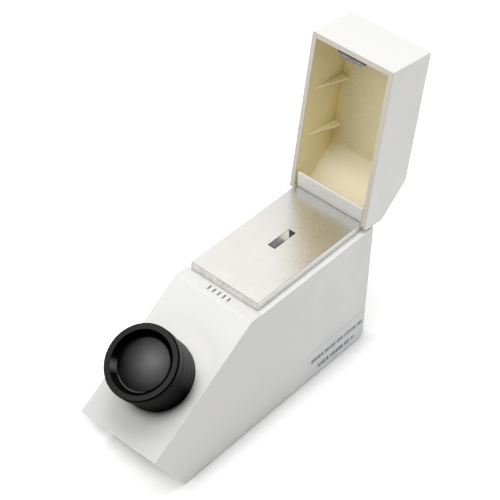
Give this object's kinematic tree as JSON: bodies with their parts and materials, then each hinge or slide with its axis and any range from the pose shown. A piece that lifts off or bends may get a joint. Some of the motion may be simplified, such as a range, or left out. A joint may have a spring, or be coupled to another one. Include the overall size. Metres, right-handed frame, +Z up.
{
  "type": "refractometer",
  "caption": "Bench refractometer: wedge-nosed white case, round black eyepiece, steel stage with prism window, hinged box lid standing open.",
  "frame": {"origin": "middle of the underside of the whole object's box, lid open, on the plane of the feet", "axes": "+Z up, the eyepiece and the sloping front face -Y, +X is the right-hand side seen from the eyepiece end"},
  "size_m": [0.0501, 0.1956, 0.175],
  "materials": {
    "white_plastic": "satin",
    "lid_plastic": "satin",
    "block_plastic": "satin",
    "base_plastic": "satin",
    "rubber": "matte",
    "stainless": "satin",
    "steel": "satin",
    "prism_glass": "polished",
    "lens_glass": "polished",
    "polariser_glass": "polished",
    "mirror": "polished",
    "aluminium": "satin",
    "black_satin": "satin",
    "yellow_glass": "polished",
    "opal_glass": "satin",
    "board": "satin",
    "led_epoxy": "gloss",
    "cell_jacket": "gloss",
    "magnet_plating": "satin",
    "label": "satin"
  },
  "bodies": {
    "housing": {"housing": "white_plastic", "base_plate": "base_plastic", "base_screws": "steel", "rubber_feet": "rubber", "battery_door": "base_plastic", "door_screw": "steel", "stage_plate": "stainless", "stage_screws": "steel", "prism": "prism_glass", "prism_cradle": "aluminium", "cradle_screws": "steel", "lid_keeper": "steel", "hinge_block": "block_plastic", "hinge_block_screws": "steel", "eyepiece_mount": "black_satin", "eyepiece_lock_nut": "black_satin", "optics_tube": "black_satin", "scale_reticle": "lens_glass", "reticle_retainer": "black_satin", "objective_lens": "lens_glass", "objective_retainer": "black_satin", "tube_saddle": "aluminium", "saddle_screws": "steel", "fold_mirror": "mirror", "mirror_bracket": "aluminium", "lamp_housing": "black_satin", "yellow_filter": "yellow_glass", "diffuser": "opal_glass", "lamp_board": "board", "led": "led_epoxy", "battery_holder": "black_satin", "battery_cells": "cell_jacket", "battery_contacts": "steel", "switch_bezel": "black_satin", "rating_label": "label"},
    "lid": {"lid_shell": "lid_plastic", "lid_magnet": "magnet_plating", "magnet_holder": "black_satin", "hinge_pin": "steel"},
    "focus_ring": {"focus_ring": "black_satin"},
    "lens_carrier": {"lens_carrier": "black_satin", "eye_lens": "lens_glass", "field_lens": "lens_glass", "lens_spacer": "black_satin", "lens_retainer": "black_satin"},
    "polariser_ring": {"polariser_ring": "black_satin", "polariser_glass": "polariser_glass", "polariser_retainer": "black_satin"},
    "switch_rocker": {"switch_rocker": "black_satin"}
  },
  "joints": [
    {"name": "lid_hinge", "type": "hinge", "parent": "housing", "child": "lid", "pos_m": [0, 0.06065, 0.0844], "axis": [1, 0, 0], "range_deg": [0, 97.1]},
    {"name": "focus_turn", "type": "hinge", "parent": "housing", "child": "focus_ring", "pos_m": [0, -0.06798, 0.0543], "axis": [0, -0.5601, 0.8284], "range_deg": [0, 180]},
    {"name": "focus_slide", "type": "slide", "parent": "housing", "child": "lens_carrier", "axis": [0, -0.5601, 0.8284], "range_m": [0, 0.003]},
    {"name": "polariser_turn", "type": "hinge", "parent": "lens_carrier", "child": "polariser_ring", "pos_m": [0, -0.06798, 0.0543], "axis": [0, -0.5601, 0.8284], "continuous": true},
    {"name": "power_rocker", "type": "hinge", "parent": "housing", "child": "switch_rocker", "pos_m": [0, 0.0636, 0.0308], "axis": [1, 0, 0], "range_deg": [0, 16]}
  ],
  "couplings": [
    {"joint": "focus_slide", "follows": "focus_turn", "m_per_rad": 0.00095492}
  ]
}
